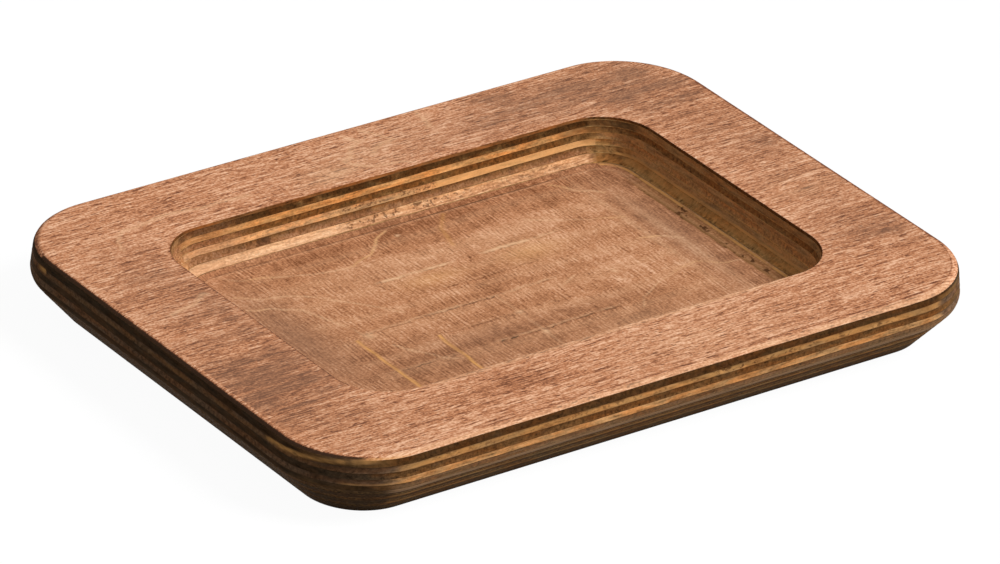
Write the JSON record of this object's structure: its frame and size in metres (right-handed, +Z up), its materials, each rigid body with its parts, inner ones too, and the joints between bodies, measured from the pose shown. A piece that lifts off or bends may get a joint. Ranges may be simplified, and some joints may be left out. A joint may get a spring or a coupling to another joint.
{
  "type": "wooden dish underliner",
  "caption": "Rectangular stained plywood trivet with rounded corners, a bevelled underside and a routed recess that holds a hot serving dish.",
  "frame": {"origin": "centre of the board's flat base", "axes": "+X along the board's length, +Y across it, +Z up out of the recess"},
  "size_m": [0.19, 0.142, 0.018],
  "materials": {
    "face_veneer": "brown stain, matt, open pores",
    "long_ply": "brown stain, matt, cut edge",
    "cross_ply": "brown stain, matt, cut edge",
    "glue": "dark cured resin"
  },
  "bodies": {
    "root": {"top_face_veneer": "face_veneer", "cross_ply_2": "cross_ply", "long_ply_3": "long_ply", "cross_ply_4": "cross_ply", "long_ply_5": "long_ply", "cross_ply_6": "cross_ply", "long_ply_7": "long_ply", "cross_ply_8": "cross_ply", "long_ply_9": "long_ply", "cross_ply_10": "cross_ply", "long_ply_11": "long_ply", "cross_ply_12": "cross_ply", "bottom_face_veneer": "face_veneer", "glue_line_1": "glue", "glue_line_2": "glue", "glue_line_3": "glue", "glue_line_4": "glue", "glue_line_5": "glue", "glue_line_6": "glue", "glue_line_7": "glue", "glue_line_8": "glue", "glue_line_9": "glue", "glue_line_10": "glue", "glue_line_11": "glue", "glue_line_12": "glue"}
  },
  "joints": []
}
